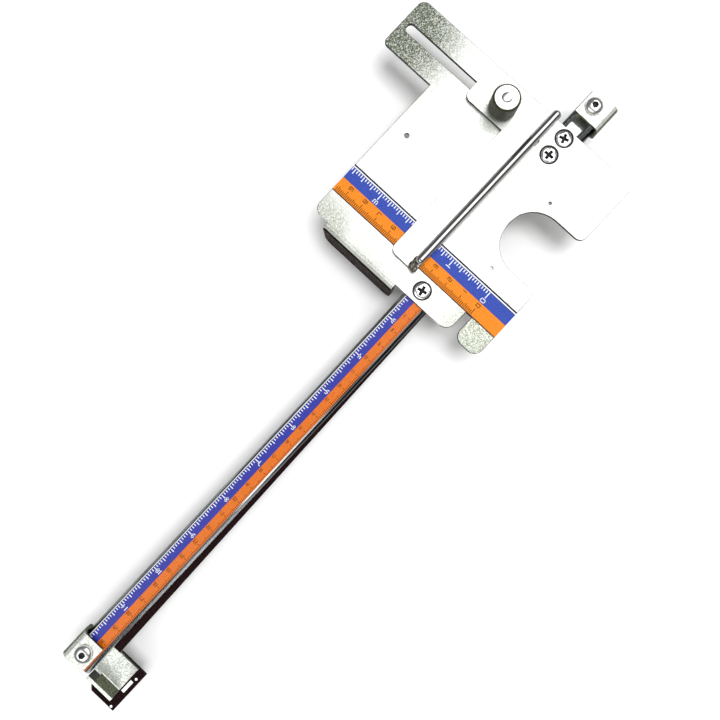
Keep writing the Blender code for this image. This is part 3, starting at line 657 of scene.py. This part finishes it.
# Each bead: from the slider's left end, behind the rod's centre line, and its radius, in millimetres.
BEADS = ((2.4, 1.5, 2.2), (5.6, 1.9, 1.7), (1.2, -0.6, 1.6))
BEAD_LUMPS = 0.06
BEAD_STRETCH = (1.3, 0.9, 0.75)
BEAD_LIFT = 0.35 * MM
NO_SHARP_EDGE = 180.0
for from_left, behind, size in BEADS:
    bead = bmesh.ops.create_icosphere(beads, subdivisions=3, radius=size * MM)
    for vert in bead["verts"]:
        vert.co *= 1 + wander.uniform(-BEAD_LUMPS, BEAD_LUMPS)
    bmesh.ops.scale(beads, vec=BEAD_STRETCH, verts=bead["verts"])
    spot = (slider_low.x + from_left * MM, axis.y + behind * MM, slider_high.z + BEAD_LIFT)
    bmesh.ops.translate(beads, vec=spot, verts=bead["verts"])
beads = made_piece("braze_beads", beads, braze, smooth=NO_SHARP_EDGE)
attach(beads, "slider")


# Clamp. A carriage bolt comes up through the slot, its square neck keeping it from turning. A plain washer
# and a knurled knob sit on it: the knob's knurled sides are painted near black as shade, its face is turned
# bright, and a thin ring round the bore is left dark as painted shade.
CLAMP_ARRIS = 0.12 * MM
stud = made_piece("carriage_bolt", worked_copy("clamp_stud", CLAMP_ARRIS), nickel)
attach(stud, "slider")
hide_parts("clamp_stud")
washer = made_piece("plain_washer", worked_copy("clamp_washer", CLAMP_ARRIS), zinc)
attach(washer, "slider")
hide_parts("clamp_washer")


def open_edges(items):
    """The edges among these that only one face meets."""
    return [item for item in items if isinstance(item, bmesh.types.BMEdge) and item.is_boundary]


def draw_up(shape, edges, scale=1.0, rise=0.0, radius=None):
    """Draws a ring of edges out into a wall, and scales and lifts the new ring or gives it a radius."""
    made = bmesh.ops.extrude_edge_only(shape, edges=edges)["geom"]
    ring = [item for item in made if isinstance(item, bmesh.types.BMVert)]
    bmesh.ops.scale(shape, vec=(scale, scale, 1), verts=ring)
    bmesh.ops.translate(shape, vec=(0, 0, rise), verts=ring)
    if radius:
        for vert in ring:
            vert.co.xy = vert.co.xy.normalized() * radius
    return made


# Painted shade: one near-black olive colour for the knob's knurled sides.
knurl_shade = grained(
    "painted_shade_knurl", (0.022, 0.022, 0.013), (0.10, 0.10, 0.062), 0.4 * MM, (0.3, 0.5), 0.8, 0.01 * MM,
)
turned_face = grained(
    "turned_face", (0.80, 0.80, 0.78), (0.94, 0.94, 0.92), 0.5 * MM, (0.15, 0.25), 1.0, 0.002 * MM,
)
KNURLS = 44
KNURL_POINTS = 4             # two on each ridge and two in each groove
KNURL_DEPTH = 0.35 * MM
RIM = 0.55 * MM
BORE = 2.75 * MM
BORE_EDGE = 0.35 * MM
KNOB_SHARP = 20.0
# The turned steps inside the knob's rim: each ring's size against the one before, and its rise.
FACE = ((0.955, 0.0), (0.99, -0.1 * MM), (0.97, 0.1 * MM))
low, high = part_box("clamp_knob")
centre = (low + high) / 2
outer = (high.x - low.x) / 2
knob = bmesh.new()
points = KNURLS * KNURL_POINTS
ring = bmesh.ops.create_circle(knob, cap_ends=False, radius=outer, segments=points)["verts"]
for index, vert in enumerate(ring):
    if index % KNURL_POINTS >= KNURL_POINTS // 2:
        vert.co *= (outer - KNURL_DEPTH) / outer
bmesh.ops.scale(knob, vec=((outer - RIM) / outer, (outer - RIM) / outer, 1), verts=ring)
bmesh.ops.translate(knob, vec=(0, 0, low.z), verts=ring)
SIDES = ((outer / (outer - RIM), RIM), (1.0, high.z - low.z - 2 * RIM), ((outer - RIM) / outer, RIM))
edges = knob.edges[:]
for scale, rise in SIDES:
    draw_up(knob, edges, scale, rise)
    edges = [edge for edge in knob.edges if edge.is_boundary and edge.verts[0].co.z > low.z + RIM / 2]
for scale, rise in FACE:
    edges = open_edges(draw_up(knob, edges, scale, rise))
made = draw_up(knob, edges, radius=BORE + BORE_EDGE)
for face in [item for item in made if isinstance(item, bmesh.types.BMFace)]:
    face.material_index = 1
# Painted shade: this narrow ring round the bore is not given the bright face colour, for the shadow in the
# gap round the bolt.
made = draw_up(knob, open_edges(made), radius=BORE)
draw_up(knob, open_edges(made), rise=low.z - high.z)
bmesh.ops.bridge_loops(knob, edges=open_edges(knob.edges))
bmesh.ops.recalc_face_normals(knob, faces=knob.faces)
bmesh.ops.translate(knob, vec=(centre.x, centre.y, 0), verts=knob.verts)
knob = made_piece("knurled_knob", knob, knurl_shade, turned_face, smooth=KNOB_SHARP)
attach(knob, "knob")
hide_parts("clamp_knob")


# Rail clips. Two sheets folded round the rail, plated like the plate, each with a hexagon socket button
# screw that presses a small brass shoe on the rail. The end stop's floor runs on into an upright hook.
brass = grained(
    "turned_brass", (0.62, 0.44, 0.17), (0.80, 0.60, 0.28), 0.4 * MM, (0.25, 0.4), 1.0, 0.003 * MM,
)
clip_zinc = grained(
    "clip_zinc", (0.50, 0.54, 0.46), (0.90, 0.92, 0.88), 0.7 * MM, (0.28, 0.42), 0.6, 0.005 * MM,
)
# Painted shade: a dark olive colour for the hook's wall and the folds, which are the same zinc plate as the
# rest of the clip.
painted_shade_zinc = grained(
    "painted_shade_zinc", (0.06, 0.068, 0.040), (0.17, 0.18, 0.12), 0.7 * MM, (0.35, 0.55), 0.9, 0.005 * MM,
)
CLIP_ARRIS = 0.08 * MM
SMALL_ARRIS = 0.1 * MM
ENDWAYS = 0.9                # share of a normal along X, for the clip's ends and the hook's wall
SIDEWAYS = 0.75              # share of a normal along Y, for the folds
HOOK_WALL = 60 * MM * MM     # a face along X larger than this is the hook's wall and not a cut end
SOCKET_REACH = 1.8 * MM
SOCKET_FLOOR = 1.0 * MM
SOCKET_MOUTH = 0.1 * MM
BUTTON_CORNER = 40.0
BUTTON_SHARP = 35.0
for clip in ("end_stop", "tail_clip"):
    bracket = worked_copy(f"{clip}_bracket", CLIP_ARRIS)
    bracket.normal_update()
    # Small faces along X are cut ends; the hook's wall and the faces along Y, the folds, take the painted
    # shade.
    for face in bracket.faces:
        if abs(face.normal.x) > ENDWAYS:
            face.material_index = 2 if face.calc_area() > HOOK_WALL else 1
        elif abs(face.normal.y) > SIDEWAYS:
            face.material_index = 2
    bracket = made_piece(f"{clip}_fold", bracket, clip_zinc, cut_edge, painted_shade_zinc)
    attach(bracket, clip)
    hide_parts(f"{clip}_bracket")
    shoe = made_piece(f"{clip}_pressure_shoe", worked_copy(f"{clip}_shoe", SMALL_ARRIS), brass)
    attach(shoe, clip)
    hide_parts(f"{clip}_shoe")
    low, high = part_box(f"{clip}_screw")
    centre = (low + high) / 2
    screw = worked_copy(f"{clip}_screw", SMALL_ARRIS, BUTTON_CORNER)
    # Painted shade: the faces deep in the hexagon socket take the near-black recess colour.
    for face in screw.faces:
        spot = face.calc_center_median()
        deep = low.z + SOCKET_FLOOR < spot.z < high.z - SOCKET_MOUTH
        face.material_index = int(deep and (spot - centre).xy.length < SOCKET_REACH)
    screw = made_piece(f"{clip}_button_screw", screw, nickel, recess, smooth=BUTTON_SHARP)
    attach(screw, f"{clip}_screw")
    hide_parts(f"{clip}_screw")


# Foot. An L of dark rubber glued under the hook, with a bright steel key and two pins let into it that
# mark the hook's edge.
foot = made_piece("hook_foot", worked_copy("end_stop_foot", RUBBER_ARRIS), rubber)
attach(foot, "end_stop")
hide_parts("end_stop_foot")
for name in ("foot_key", "foot_pin_left", "foot_pin_right"):
    inlay = made_piece(name + "_inlay", worked_copy(name, CLIP_ARRIS), nickel)
    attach(inlay, "end_stop")
    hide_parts(name)
